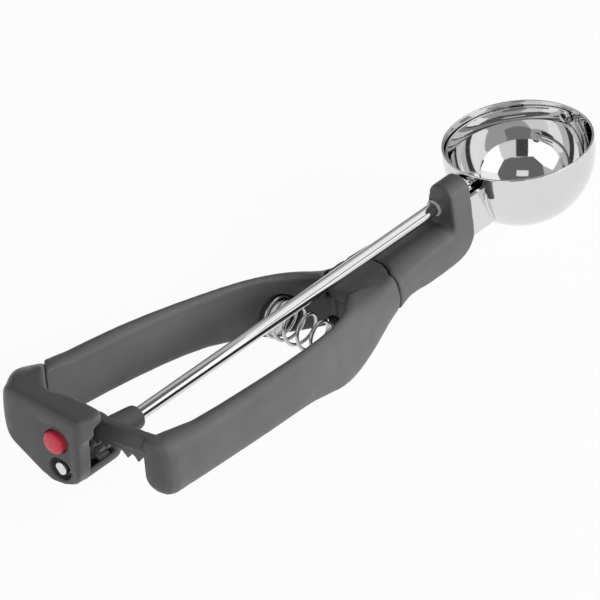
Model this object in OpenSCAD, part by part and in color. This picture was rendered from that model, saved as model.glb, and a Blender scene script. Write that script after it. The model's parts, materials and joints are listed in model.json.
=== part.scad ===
// Lever ice cream scoop.
// A squeeze handle swings a toothed arm over a pinion, and the pinion's long shaft turns a
// scraper through the bowl. Frame of the drawing inside the modules: x runs along the shaft
// towards the bowl, the shaft's axis is y = 0 and z = 0, and the bowl's centre is x = 0.

/* [Bowl] */
// Outside diameter of the bowl
bowl_d = 50; // [46:1:54]
// Wall of the bowl
bowl_wall = 0.9; // [0.7:0.1:1.2]
// Height of the rim above the shaft's axis
rim_h = 3.7; // [3.5:0.1:6]
// Turn of the bowl about the shaft, in degrees
bowl_turn = 4.5; // [0:0.5:6]

/* [Scraper] */
// Width of the scraper band
band_w = 5; // [4:0.5:6]
// Thickness of the scraper band
band_t = 0.7; // [0.5:0.1:1]
// Running gap between the scraper band and the bowl
band_gap = 0.3; // [0.2:0.05:0.4]
// Diameter of the rivet at the far end of the band
rivet_d = 2; // [1.6:0.1:2.4]

/* [Shaft and pinion] */
// Diameter of the drive shaft
shaft_d = 4.5; // [4:0.1:5]
// Running clearance of a bore, on the radius
run_fit = 0.05; // [0.02:0.01:0.08]
// Module of the pinion and the rack
tooth_module = 1.25; // [1.1:0.05:1.3]
// Number of teeth on the pinion
pinion_teeth = 8; // [8:1:9]
// Pressure angle of the teeth
pressure_angle = 30; // [28:1:32]
// Play between the teeth, measured on the pitch line
tooth_play = 0.34; // [0.3:0.02:0.4]
// Width of the pinion along the shaft
pinion_w = 4.4; // [4:0.2:4.8]

/* [Lengths along the shaft] */
// From the bowl's centre back to the front face of the head
head_front = 32.5; // [32:0.5:34]
// Length of the hood over the front bearing
hood_len = 9.2; // [8:0.2:11]
// From the bowl's centre back to the hinge
hinge_x = 79; // [76:1:82]
// Space between the rack arm and the end wall
arm_room = 5.8; // [5.4:0.2:6.6]

/* [Handle] */
// Thickness of a grip at its thinnest place
grip_t = 4.2; // [3.8:0.1:5]
// Thickness of a grip near the end of the handle
heel_t = 7.9; // [7.4:0.1:8.4]
// Extra thickness of a grip where it leaves the hinge
root_swell = 6.9; // [6:0.1:7.5]
// Level of the end housing's top above the shaft
housing_top = 22.5; // [21.5:0.5:24]
// Thickness of the end wall
end_wall = 5.4; // [5:0.1:6]
// Radius of the trough under the shaft
trough_r = 5; // [4.6:0.1:5.4]

/* [Hinge] */
// Radius of the lever's round cheeks
cheek_r = 10; // [9.5:0.5:11]
// Thickness of a cheek
cheek_t = 4.2; // [3.6:0.2:5]
// Diameter of the hinge pin
hinge_pin_d = 5; // [4:0.5:6]
// Thickness of a hinge washer
washer_t = 0.6; // [0.4:0.1:0.8]
// Gap between mouldings that pass each other
part_gap = 0.4; // [0.3:0.05:0.5]
// Swing of the lever, in degrees
lever_swing = 7.5; // [6.5:0.5:7.5]

/* [Rack arm] */
// Distance from the hinge to the arm's back face
arm_r = 121.8; // [121:0.2:123]
// Thickness of the arm
arm_t = 5.8; // [5.4:0.1:6.4]
// Level of the arm's top
arm_top = 13.6; // [13:0.2:14.4]
// Number of teeth on the rack
rack_teeth = 6; // [6:1:7]

/* [Return spring] */
// Wire of the return spring
spring_wire = 1.2; // [1:0.1:1.4]
// Outside diameter of the spring at the fixed grip
spring_big = 15; // [14:0.5:16]
// Outside diameter of the spring at the lever
spring_small = 10; // [9:0.5:11]
// Turns of the spring
spring_turns = 7; // [6:0.5:9]

/* [Release button] */
// Diameter of the button
button_d = 7.8; // [7.4:0.2:8.4]
// Height of the button above the shaft
button_z = 10.3; // [9.6:0.1:10.8]
// Travel of the button
button_travel = 1.6; // [1.2:0.1:1.8]
// Diameter of the button's stem
stem_d = 3; // [2.4:0.2:3.4]

/* [Hidden] */
$fn = 64;
cut = 0.5;
fit = 0.05;
steel = [0.78, 0.79, 0.81];
plastic = [0.25, 0.25, 0.27];
red = [0.84, 0.16, 0.24];

// Bowl and scraper
bowl_r = bowl_d / 2;
bowl_in = bowl_r - bowl_wall;
band_out = bowl_in - band_gap;
band_in = band_out - band_t;
band_lean = 2.5;
rivet_r = rivet_d / 2;
rivet_head_r = 2;
rivet_head_h = 0.8;
spigot_r = 1.5;
hub_r = 3;
hub_h = 1.3;

// Shaft and gearing
shaft_r = shaft_d / 2;
pitch_r = tooth_module * pinion_teeth / 2;
base_r = pitch_r * cos(pressure_angle);
tip_r = pitch_r + 0.76 * tooth_module;
root_r = pitch_r - 1.25 * tooth_module;
tooth_half = (PI * tooth_module - tooth_play) / 4;
rack_w = 4.4;
rack_r = arm_r - arm_t + rack_w / 2;
rack_root = pitch_r + 1.25 * tooth_module;
rack_tip = pitch_r - tooth_module;
pinion_x = -hinge_x - rack_r;
pinion_front = pinion_x + pinion_w / 2;
pinion_back = pinion_x - pinion_w / 2;
hub_back = pinion_back - 2.8;
pin_x = (pinion_back + hub_back) / 2;
pin_r = 0.7;
pinion_hub_r = root_r - 0.3;
tooth_inset = 0.15;
bush_wall = 0.6;
thrust_t = 0.65;
arm_back = -hinge_x - arm_r;
wall_in = arm_back - arm_room;
end_x = end_wall - wall_in;

// Head of the handle and the bowl's bracket
hood_back = -head_front - hood_len;
sheet = 1.2;
hood_outline = [[-9, -8, 0], [-7.6, 9.6, 4.5], [1.2, 9.6, 4], [4.6, -8, 0]];
screw_pitch = 6;
bracket_half = 6.3;
bracket_top = 1;
bracket_low = -14.4;
bracket_tail = -7;
bracket_back = -head_front - 13.5;
bracket_screw_x = -head_front - 10;
collar_x = 2 - head_front;
collar_w = 3;
collar_r = 4;
head_low = -18.4;
screw_r = 1.3;
screw_head_r = 2.4;
screw_head_h = 1.6;
screw_end = 1;

// Hinge levels, from the top down
hinge_top = -5.1;
hinge_low = -22.8;
cheek_top_in = hinge_top - cheek_t;
cheek_low_in = hinge_low + cheek_t;
barrel_top = cheek_top_in - washer_t - fit;
barrel_low = cheek_low_in + washer_t + fit;
barrel_r = 8.3;
seam_x = hinge_x - 7.1;
pin_hr = hinge_pin_d / 2;
clip_h = 0.6;

// Stations along the handle, as distances back from the bowl's centre; they were laid out for
// this head, hinge and arm, and are stretched with them
drawn_head = 32.5;
drawn_hinge = 79;
drawn_arm = 121.8;
crest = [[32.5, -4.4], [66, -4.4], [79, -5.1], [84, -4], [95, -0.4], [108, 2], [147, 7.2],
    [181, 10.9], [189, 12.9], [198, 13.6]];
belly = [[32.5, -13.2], [34.5, -16.2], [38, -18], [43, -18.6], [55, -18.4], [66, -16.6],
    [75, -19], [90, -22.8], [107, -21], [127, -15.2], [158, -10.4], [182, -7.8], [198, -6.2]];
flank = [[32.5, 9.0], [40, 9.5], [55, 10], [75, 12.6], [92, 16.6], [117, 23.5], [145, 27.9], [192, 31.5],
    [198, 31.5]];
neck_rings = [32.5, 33.4, 34.8, 37, 40, 44, 50, 56, 61, 66, 70];
grip_rings = [75, 79, 83, 87, 91, 95, 100, 105, 111, 118, 126, 135, 145, 156, 167, 178, 187];
thin_x = place(112);
heel_x = -arm_back - 16.8;
grip_end = -arm_back - 3.8;
joint_x = arm_back - 3.8;
joint_y = 9.5;
joint_turn = 42.5;
joint_run = 20;
lever_end = -arm_back - 2.8;
heel_round = 6;

// Rear end
cradle_front = pinion_front + thrust_t + 3 * fit;
boss_tip = cradle_front + 16.7;
boss_r = 5.6;
boss_tip_r = 3.8;
cradle_in = 6.2;
cradle_out = 6.9;
slot_top = 18.8;
pocket_y = 11;
slot_gap = 0.6;
boss_wall = 3;
wing_y = 22.8;
wing_in = 12;
wing_low = 1.4;
wing_round = 6;
wing_crest = [[-28, 12.6], [-24, 13.4], [-9, 22.2], [-6, 22.5], [0, 22.5]];
arm_rib = 9.6;
side_y = -10.2;
visor_y = -15;
tongue_front = arm_back + 22.8;
tongue_half = 1.8;
tongue_y = 27;
tongue_low = 0;
tongue_top = 7;
web_front = 6.4;
web_out = 24.4;
web_w = 6.8;
web_run = 7.9;
web_r = 6.4;
web_drop = 2.2;
web_lift = 0.3;
stop_w = 2.4;
stop_in = 2.4;
stop_y = 4.6;
arm_run = rack_r * lever_swing * PI / 180;
pad_end = 9;
pad_turn = 4.6;

// Button
button_r = button_d / 2;
button_y = 0.6;
button_tip = -end_x - 1.3;
button_h = 4.1;
button_back = button_tip + button_h;
button_boss = wall_in + 3.2;
bore_end = button_boss - 1;
stem_r = stem_d / 2;
stem_clip_h = 0.5;
stem_tip = arm_back - button_travel - 0.3;
button_wire = 0.5;

// Return spring
spring_x = -hinge_x - 22.7;
spring_z = (hinge_top + hinge_low) / 2;
seat_sink = 1;
seat_rim = 0.4;
seat_y = flank_at(-spring_x) - grip_thick(-spring_x) + seat_sink;
seat_fit = 0.3;
stud_h = 2.4;
stud_r = 2;
stud_in = 2.6;
end_turns = 0.35;

origin_x = (button_tip + bowl_r + rivet_head_h) / 2;
wire_sides = 6;

// Place of the drawn station d, and the drawn station of the place x
function place(d) = d <= drawn_hinge
    ? head_front + (d - drawn_head) * (hinge_x - head_front) / (drawn_hinge - drawn_head)
    : hinge_x + (d - drawn_hinge) * arm_r / drawn_arm;
function station(x) = x <= hinge_x
    ? drawn_head + (x - head_front) * (drawn_hinge - drawn_head) / (hinge_x - head_front)
    : drawn_hinge + (x - hinge_x) * drawn_arm / arm_r;

// Levels and half width of the handle's outside at the place x
function crest_at(x) = curve(crest, station(x));
function belly_at(x) = curve(belly, station(x));
function flank_at(x) = curve(flank, station(x));

// Slope of a curve at station i
function slope_at(p, i) =
    let (a = max(i - 1, 0), b = min(i + 1, len(p) - 1)) (p[b][1] - p[a][1]) / (p[b][0] - p[a][0]);

// Index of the span of curve p that holds x
function span_of(p, x, i = 0) = i >= len(p) - 2 || x <= p[i + 1][0] ? i : span_of(p, x, i + 1);

// Value at x of the smooth curve through the stations p
function curve(p, x) =
    let (
        i = span_of(p, x),
        h = p[i + 1][0] - p[i][0],
        t = min(max((x - p[i][0]) / h, 0), 1)
    )
    (1 + 2 * t) * (1 - t) * (1 - t) * p[i][1] + t * (1 - t) * (1 - t) * h * slope_at(p, i)
        + t * t * (3 - 2 * t) * p[i + 1][1] - t * t * (1 - t) * h * slope_at(p, i + 1);

// How far a corner of radius r has drawn in at x, when it starts at x0
function drawn_in(x, x0, r) = x <= x0 ? 0 : r - sqrt(max(r * r - pow(x - x0, 2), 0));

// Thickness of a grip at x
function grip_thick(x) =
    grip_t + (x - thin_x) * (heel_t - grip_t) / (heel_x - thin_x)
        + root_swell * pow(max(thin_x - x, 0) / 22, 2);

// Quarter of an ellipse round c, from the angle a
function quarter(c, r, a, steps = 5) =
    [for (i = [0 : steps]) c + [r[0] * cos(a + 90 * i / steps), r[1] * sin(a + 90 * i / steps)]];

// Closed outline from y0 to y1 and z0 to z1 with elliptic corners, given as fractions of the
// width and as heights: outer top, inner top, inner bottom, outer bottom
function section(y0, y1, z0, z1, c) =
    let (w = y1 - y0)
    concat(
        quarter([y1 - c[0][0] * w, z1 - c[0][1]], [c[0][0] * w, c[0][1]], 0),
        quarter([y0 + c[1][0] * w, z1 - c[1][1]], [c[1][0] * w, c[1][1]], 90),
        quarter([y0 + c[2][0] * w, z0 + c[2][1]], [c[2][0] * w, c[2][1]], 180),
        quarter([y1 - c[3][0] * w, z0 + c[3][1]], [c[3][0] * w, c[3][1]], 270)
    );

neck_corners = [[0.3, 5], [0.3, 5], [0.12, 2.5], [0.12, 2.5]];

// Corners of a grip at x; the inner top edge is sharper at both ends
function grip_corners(x) =
    let (soft = min(max((x - hinge_x - 5) / 16, 0), 1) * min(max((heel_x + 8 - x) / 16, 0), 1))
    [[0.55, 7], [0.1 + 0.3 * soft, 0.8 + 2.2 * soft], [0.35, 2.5], [0.5, 6]];

// Ring of a grip at x; low is the least distance of its inner face from the middle
function grip_ring(x, low) =
    let (
        outer = flank_at(x) - drawn_in(x, lever_end - heel_round, heel_round),
        inner = max(low, flank_at(x) - grip_thick(x))
    )
    [for (p = section(inner, outer, belly_at(x) + drawn_in(x, lever_end - heel_round, heel_round),
        crest_at(x), grip_corners(x))) [-x, p[0], p[1]]];

// Ring of the neck at x
function neck_ring(x) =
    let (w = flank_at(x))
    [for (p = section(-w, w, belly_at(x), crest_at(x), neck_corners)) [-x, p[0], p[1]]];

// Outline with its corners rounded; each corner is [x, y, radius]
function rounded(p, steps = 6) =
    [for (i = [0 : len(p) - 1])
        let (
            v = [p[i][0], p[i][1]],
            a = p[(i + len(p) - 1) % len(p)],
            b = p[(i + 1) % len(p)],
            da = [a[0], a[1]] - v,
            db = [b[0], b[1]] - v,
            ua = da / norm(da),
            ub = db / norm(db),
            half = acos(ua * ub) / 2,
            r = p[i][2],
            c = v + (ua + ub) / norm(ua + ub) * r / sin(half),
            fa = v + ua * r / tan(half) - c,
            turn = (180 - 2 * half) * (cross(fa, v - c) > 0 ? 1 : -1)
        )
        for (k = [0 : r > 0 ? steps : 0])
            r > 0
                ? c + [fa[0] * cos(turn * k / steps) - fa[1] * sin(turn * k / steps),
                    fa[0] * sin(turn * k / steps) + fa[1] * cos(turn * k / steps)]
                : v];

// Solid through a list of rings with equal numbers of points
module skin(rings) {
    n = len(rings[0]);
    last = len(rings) - 1;
    polyhedron(
        points = [for (ring = rings) for (p = ring) p],
        faces = concat(
            [[for (i = [n - 1 : -1 : 0]) i]],
            [[for (i = [0 : n - 1]) last * n + i]],
            [for (k = [0 : last - 1]) for (i = [0 : n - 1])
                [k * n + i, k * n + (i + 1) % n, (k + 1) * n + (i + 1) % n]],
            [for (k = [0 : last - 1]) for (i = [0 : n - 1])
                [k * n + i, (k + 1) * n + (i + 1) % n, (k + 1) * n + i]]
        ),
        convexity = 6
    );
}

// Rod or cone along the shaft from x0 to x1
module rod(x0, x1, r, r2 = -1, y = 0, z = 0) {
    translate([x0, y, z]) rotate([0, 90, 0]) cylinder(h = x1 - x0, r1 = r, r2 = r2 < 0 ? r : r2);
}

// Flat ring along the shaft from x0 to x1
module sleeve(x0, x1, r_in, r_out, y = 0, z = 0) {
    difference() {
        rod(x0, x1, r_out, y = y, z = z);
        rod(x0 - cut, x1 + cut, r_in, y = y, z = z);
    }
}

// Outline in y and z, drawn out along the shaft from x0 to x1
module along_x(x0, x1) {
    translate([x0, 0, 0]) rotate([90, 0, 90]) linear_extrude(height = x1 - x0) children();
}

// Round rod on the hinge's axis
module on_hinge(z0, z1, r) {
    translate([-hinge_x, 0, z0]) cylinder(h = z1 - z0, r = r);
}

module bowl() {
    color(steel) rotate([-bowl_turn, 0, 0]) difference() {
        rotate_extrude($fn = 96) difference() {
            union() {
                bowl_disc(bowl_r);
                square([bowl_r, rim_h]);
            }
            bowl_disc(bowl_in);
            square([bowl_in, rim_h + cut]);
        }
        rotate([bowl_turn, 0, 0]) {
            rod(-bowl_r - cut, 0, spigot_r + 4 * fit);
            rod(0, bowl_r + cut, rivet_r);
        }
    }
}

// Lower quarter of a disc, the half profile of the bowl's round part
module bowl_disc(r) {
    intersection() {
        circle(r = r, $fn = 96);
        translate([0, -r]) square([r, r]);
    }
}

// Bracket: high cheeks in front of the head, a low tail inside it
module bracket_body(gap = 0) {
    difference() {
        along_x(bracket_back - gap, 0) bracket_profile(gap);
        translate([bracket_back - 1, -20, bracket_tail + gap])
            cube([-head_front - bracket_back + 1 - gap, 40, 20]);
    }
}

module bracket_profile(gap = 0) {
    difference() {
        translate([-bracket_half - gap, bracket_low - gap])
            square([2 * (bracket_half + gap), bracket_top - bracket_low + 2 * gap]);
        translate([-bracket_half + sheet + gap, bracket_low + sheet + gap])
            square([2 * (bracket_half - sheet - gap), bracket_top - bracket_low]);
    }
}

module bowl_bracket() {
    color(steel) difference() {
        bracket_body();
        sphere(r = bowl_r, $fn = 96);
        for (s = [-1, 1])
            translate([bracket_screw_x, s * screw_pitch / 2, bracket_low - cut]) cylinder(h = 4, r = screw_r);
    }
}

// Weld along the joint of a bracket cheek and the bowl
module weld_beads() {
    seam_r = sqrt(bowl_r * bowl_r - bracket_half * bracket_half);
    color(steel) for (s = [-1, 1]) difference() {
        translate([0, s * bracket_half, 0]) rotate([90, 0, 0]) rotate([0, 0, 184])
            rotate_extrude(angle = 24) translate([seam_r, 0]) circle(r = 0.7, $fn = 24);
        sphere(r = bowl_r, $fn = 96);
        translate([-bowl_d, -bracket_half, -bowl_d]) cube([bowl_d, 2 * bracket_half, 2 * bowl_d]);
    }
}

module scraper_band() {
    color(steel) rotate([-bowl_turn - band_lean, 0, 0]) difference() {
        intersection() {
            sphere(r = band_out, $fn = 96);
            union() {
                translate([-bowl_r, 0, -band_w / 2]) cube([bowl_d, bowl_r, band_w]);
                rod(-bowl_r, bowl_r, band_w / 2);
            }
        }
        sphere(r = band_in, $fn = 96);
        rod(-bowl_r, 0, spigot_r);
        rod(0, bowl_r, rivet_r + 2 * fit);
    }
}

module scraper_hub() {
    face = -sqrt(band_in * band_in - hub_r * hub_r);
    color(steel) sleeve(face, face + hub_h, spigot_r, hub_r);
}

module pivot_rivet() {
    inner = band_in - 2 * fit;
    color(steel) union() {
        rod(inner, bowl_r, rivet_r);
        rod(inner - 0.6, inner, 1.6);
        rod(bowl_r, bowl_r + rivet_head_h, rivet_head_r, 1.2);
    }
}

module drive_shaft() {
    front = -sqrt(band_in * band_in - hub_r * hub_r) + hub_h + 0.4;
    color(steel) difference() {
        union() {
            rod(-end_x + 1, -end_x + 1.4, shaft_r - 0.4, shaft_r);
            rod(-end_x + 1.4, -bowl_r - 0.8, shaft_r);
            rod(-bowl_r - 0.8, front, spigot_r);
        }
        translate([pin_x, 0, 0]) cylinder(h = 4 * shaft_r, r = pin_r, center = true);
    }
}

module shaft_collar() {
    color(steel) sleeve(collar_x, collar_x + collar_w, shaft_r, collar_r);
}

module front_bush() {
    color([0.6, 0.6, 0.62]) sleeve(hood_back, -head_front, shaft_r + run_fit, shaft_r + bush_wall);
}

module rear_bush() {
    color([0.6, 0.6, 0.62]) sleeve(-end_x + 4, hub_back - 4 * fit, shaft_r + run_fit, shaft_r + bush_wall);
}

function involute(a) = tan(a) - a * PI / 180;

// Half the angle of a pinion tooth at radius r
function tooth_angle(r) =
    (tooth_half / pitch_r + involute(pressure_angle) - involute(acos(min(base_r / r, 1))))
        * 180 / PI;

// Half of a pinion tooth: points as radius and angle, from the middle of the gap to the tip
function half_tooth(steps = 5) = concat(
    [[root_r, 180 / pinion_teeth], [root_r, 0.5 * (180 / pinion_teeth + tooth_angle(base_r))],
        [root_r, tooth_angle(base_r)]],
    [for (i = [0 : steps]) let (r = base_r + (tip_r - base_r) * i / steps) [r, tooth_angle(r)]]
);

module pinion_outline() {
    half = half_tooth();
    last = len(half) - 1;
    polygon([for (k = [0 : pinion_teeth - 1], s = [-1, 1], i = [0 : last])
        let (
            p = half[s < 0 ? i : last - i],
            a = 360 * (k + 0.5) / pinion_teeth + s * p[1]
        )
        if (!(s > 0 && i == last)) p[0] * [cos(a), sin(a)]]);
}

module drive_pinion() {
    color([0.85, 0.85, 0.82]) difference() {
        union() {
            along_x(pinion_back, pinion_front) pinion_outline();
            rod(hub_back, pinion_back + cut, pinion_hub_r);
        }
        rod(hub_back - cut, pinion_front + cut, shaft_r);
        translate([pin_x, 0, 0]) cylinder(h = 4 * root_r, r = pin_r, center = true);
    }
}

module pinion_pin() {
    color(steel) translate([pin_x, 0, 0])
        cylinder(h = 2 * (pinion_hub_r - fit), r = pin_r, center = true);
}

module thrust_washer() {
    color(steel)
        sleeve(pinion_front + fit, cradle_front - 2 * fit, shaft_r + run_fit, shaft_r + 2);
}

// Space that the shaft, its bush and its trough need in the head
module head_bores() {
    rod(hood_back - cut, -head_front + cut, shaft_r + bush_wall);
    rod(-seam_x - 8, hood_back + 0.01, trough_r);
    bracket_body(fit);
    for (s = [-1, 1]) translate([bracket_screw_x, s * screw_pitch / 2, 0]) {
        translate([0, 0, bracket_low - 8]) cylinder(h = 8 + sheet + screw_end + fit, r = screw_r);
        translate([0, 0, -22]) cylinder(h = 22 + head_low + screw_head_h, r = screw_head_r);
    }
}

module hood() {
    along_x(hood_back, -head_front) polygon(rounded(hood_outline));
}

module handle_frame() {
    color(plastic) difference() {
        union() {
            skin([for (x = concat([for (d = neck_rings) place(d)], [seam_x])) neck_ring(x)]);
            difference() {
                skin([for (x = concat([seam_x], [for (d = grip_rings) place(d)], [grip_end]))
                    grip_ring(x, 0.5)]);
                behind_joint();
            }
            hood();
            on_hinge(barrel_low, barrel_top, barrel_r);
            seat_boss(spring_big);
        }
        across_spring(seat_y - 8, seat_y, spring_big / 2 + seat_rim);
        head_bores();
        on_hinge(barrel_top, 10, cheek_r + part_gap);
        on_hinge(hinge_low - 10, barrel_low, cheek_r + part_gap);
        on_hinge(barrel_low - cut, barrel_top + cut, pin_hr);
        tongue(fit);
        housing_screw_set();
        across_spring(seat_y - cut, seat_y + stud_in, stud_r);
    }
}

// Everything behind the joint of the fixed grip and the end housing
module behind_joint() {
    translate([joint_x, joint_y, -40]) rotate([0, 0, 90 - joint_turn]) translate([-20, 0, 0])
        cube([60, 60, 80]);
}

module tongue(gap = 0) {
    translate([-grip_end - gap, tongue_y - tongue_half - gap, tongue_low - gap])
        cube([tongue_front + grip_end + 2 * gap, 2 * (tongue_half + gap), tongue_top - tongue_low + 2 * gap]);
}

module housing_screw_set() {
    for (x = [arm_back + 19.8, arm_back + 15.2]) {
        low = belly_at(-x);
        translate([x, tongue_y, low + 1]) cylinder(h = tongue_top - 2.5 - low, r = 1.1);
        translate([x, tongue_y, low - 0.6]) cylinder(h = 1.8, r = 2);
    }
}

module housing_screws() {
    color(steel) housing_screw_set();
}

module bracket_screws() {
    color(steel) for (s = [-1, 1]) translate([bracket_screw_x, s * screw_pitch / 2, 0]) {
        translate([0, 0, head_low + screw_head_h - 0.1])
            cylinder(h = bracket_low + sheet + screw_end + 0.1 - head_low - screw_head_h, r = screw_r);
        translate([0, 0, head_low]) cylinder(h = screw_head_h, r = screw_head_r);
    }
}

// Round boss that the return spring's end of diameter d sits on; the grip's outside bounds it
module seat_boss(d) {
    skin_left = 1.5;
    intersection() {
        across_spring(seat_y, seat_y + 8, d / 2 + seat_rim);
        linear_extrude(height = 60, center = true) polygon(concat(
            [for (x = [-11.7 : 3 : 12.3]) [spring_x - x, flank_at(x - spring_x) - skin_left]],
            [[spring_x - 12.3, 0], [spring_x + 11.7, 0]]));
    }
}

// Rod on the return spring's line, from y0 to y1
module across_spring(y0, y1, r) {
    translate([spring_x, y0, spring_z]) rotate([-90, 0, 0]) cylinder(h = y1 - y0, r = r);
}

// Straight rack tooth, drawn along its own width, with its middle on the pitch line
module rack_tooth() {
    slope = tan(pressure_angle);
    up = rack_root - pitch_r;
    down = pitch_r - rack_tip;
    polygon([
        [-tooth_half - up * slope, up + 0.4], [-tooth_half - up * slope, up],
        [-tooth_half + down * slope, -down], [tooth_half - down * slope, -down],
        [tooth_half + up * slope, up], [tooth_half + up * slope, up + 0.4]
    ]);
}

// Teeth of the lever's arm, at equal steps round the hinge
module rack() {
    step = PI * tooth_module / rack_r * 180 / PI;
    for (k = [0 : rack_teeth - 1])
        translate([-hinge_x, 0, pitch_r]) rotate([0, 0, 180 + k * step])
            translate([rack_r - rack_w / 2 + tooth_inset, 0, 0]) rotate([90, 0, 90])
                linear_extrude(height = rack_w - 2 * tooth_inset) rack_tooth();
}

// Sector of a ring round the hinge, between the sides a and b (y at the rack's radius)
module hinge_sector(a, b) {
    start = asin(-b / rack_r);
    translate([-hinge_x, 0, 0]) rotate([0, 0, 180 + start])
        rotate_extrude(angle = asin(-a / rack_r) - start, $fn = 180) children();
}

module arm_outline() {
    polygon(rounded([
        [arm_r - arm_t, rack_root, 0], [arm_r - arm_t + rack_w, rack_root, 0],
        [arm_r - arm_t + rack_w, arm_rib - 0.6, 0], [arm_r, arm_rib, 0.3],
        [arm_r - 2.2, arm_top - 0.4, 0.3], [arm_r - 2.6, arm_top, 0.3],
        [arm_r - arm_t, arm_top, 0.6]
    ], 3));
}

module arm() {
    hinge_sector(-25, stop_y) arm_outline();
    hinge_sector(stop_y - stop_w, stop_y)
        translate([arm_r - arm_t - stop_in, rack_root + web_lift])
            square([stop_in + 1, arm_top - rack_root - 3.4]);
    translate([arm_back + web_front, -web_out, rack_root + web_lift]) difference() {
        cube([web_w, web_run, arm_top - web_drop - rack_root - web_lift]);
        translate([web_w, web_run, -cut]) cylinder(h = arm_top, r = web_r);
    }
}

module squeeze_lever() {
    color(plastic) difference() {
        union() {
            mirror([0, 1, 0]) skin([for (x = concat([seam_x + part_gap], [for (d = grip_rings) place(d)],
                [for (d = [6, 3.5, 1.7, 0.5, 0.05]) lever_end - d])) grip_ring(x, 6.2)]);
            on_hinge(cheek_top_in, hinge_top, cheek_r);
            intersection() {
                on_hinge(hinge_low, cheek_low_in, cheek_r);
                belly_block();
            }
            arm();
            rack();
            mirror([0, 1, 0]) seat_boss(spring_small);
        }
        difference() {
            mirror([0, 1, 0]) across_spring(seat_y - 8, seat_y, spring_small / 2 + seat_rim);
            across_spring(-seat_y - cut, stud_h - seat_y, spring_small / 2 - spring_wire - seat_fit);
        }
        on_hinge(cheek_low_in, cheek_top_in, barrel_r + part_gap);
        on_hinge(hinge_low - 2, hinge_top - 1.6, pin_hr + run_fit);
    }
}

// Everything above the underside of the handle, near the hinge
module belly_block() {
    rotate([90, 0, 0]) linear_extrude(height = 40, center = true) polygon(concat(
        [for (x = [-13 : 3 : 14]) [-hinge_x - x, belly_at(hinge_x + x)]],
        [[-hinge_x - 14, 0], [13 - hinge_x, 0]]));
}

module hinge_pin() {
    color(steel) union() {
        on_hinge(hinge_low - fit, hinge_top - 1.8, pin_hr);
        on_hinge(hinge_low - fit - clip_h, hinge_low - fit, pin_hr - 0.6);
        on_hinge(hinge_low - fit - clip_h - 0.5, hinge_low - fit - clip_h, pin_hr);
    }
}

module hinge_clip() {
    color(steel) difference() {
        on_hinge(hinge_low - fit - clip_h, hinge_low - fit, pin_hr + 1.6);
        on_hinge(hinge_low - 2, hinge_low, pin_hr - 0.6);
        translate([-hinge_x, -0.8, hinge_low - 2]) cube([10, 1.6, 3]);
    }
}

module hinge_washers() {
    color([0.9, 0.9, 0.88]) for (z = [barrel_top, barrel_low - washer_t]) difference() {
        on_hinge(z, z + washer_t, barrel_r - 1);
        on_hinge(z - cut, z + washer_t + cut, pin_hr + run_fit);
    }
}

// Wire wound round z from radius r0 and height z0 to r1 and z1; its end turns lie closer
module coil(r0, r1, z0, z1, turns, wire, steps) {
    n = turns * steps;
    skin([for (k = [0 : n])
        let (
            t = k / n,
            a = 360 * turns * t,
            r = r0 + (r1 - r0) * t,
            z = z0 + (z1 - z0) * (t - end_turns * sin(360 * t) / (2 * PI))
        )
        [for (j = [0 : wire_sides - 1])
            let (b = -360 * j / wire_sides, q = r + wire / 2 * cos(b))
            [q * cos(a), q * sin(a), z + wire / 2 * sin(b)]]]);
}

// Conical spring, from its seat in the fixed grip to the one in the lever
module return_spring() {
    color(steel) translate([spring_x, seat_y, spring_z]) rotate([90, 0, 0])
        coil((spring_big - spring_wire) / 2, (spring_small - spring_wire) / 2, spring_wire / 2,
            2 * seat_y - spring_wire / 2, spring_turns, spring_wire, 14);
}

module spring_stud() {
    color(steel) union() {
        across_spring(seat_y, seat_y + stud_in, stud_r);
        across_spring(seat_y - stud_h, seat_y, spring_big / 2 - spring_wire - seat_fit);
    }
}

// Shape of the end housing seen from the end
module end_outline() {
    polygon(rounded([
        [visor_y, housing_top, 3], [visor_y, slot_top - 1, 2], [side_y, slot_top - 5, 3],
        [side_y + 0.4, -6, 11.3], [4.4, -6, 2], [wing_y, 3.5, 4], [wing_y, housing_top, 6]
    ]));
}

// Shape of the end housing seen from above
module plan_outline() {
    polygon(rounded([
        [-end_x, side_y, 2.5], [arm_back - 0.8, visor_y, 3.5], [arm_back - 1.5, 2, 6],
        [joint_x, joint_y, 4],
        [joint_x + joint_run, joint_y + joint_run / tan(joint_turn), 0], [joint_x + joint_run, 33, 0],
        [arm_back + 10.8, 33, 0], [arm_back - 2.2, wing_y + 2, 10], [-end_x, wing_y - 0.3, 6]
    ]));
}

// Shape of the end housing seen from the side
module side_outline() {
    polygon(rounded([
        [-end_x, housing_top, 2], [joint_x + 24.6, housing_top, 0], [joint_x + 24.6, -12, 0],
        [-end_x, -10, 0]
    ]));
}

module housing_block() {
    intersection() {
        union() {
            along_x(-end_x - 1, -end_x + 15) end_outline();
            wing();
        }
        linear_extrude(height = 80, center = true) plan_outline();
        rotate([90, 0, 0]) linear_extrude(height = 80, center = true) side_outline();
    }
}

// Flared side of the housing that takes the end of the fixed grip
module wing() {
    steps = 8;
    front = -joint_x - joint_run;
    skin([for (k = [0 : steps])
        let (t = k / steps, x = front + (end_x - front) * t, s = t * t * (3 - 2 * t))
        [for (p = section(wing_in,
            (1 - s) * flank_at(x) + s * wing_y - drawn_in(x, end_x - wing_round, wing_round),
            (1 - s) * belly_at(x) + s * wing_low, curve(wing_crest, x - end_x),
            [[0.35 + 0.15 * (1 - s), 6], [0.01, 0.1], [0.2, 2], [0.3, 5]]))
            [-x, p[0], p[1]]]]);
}

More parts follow.
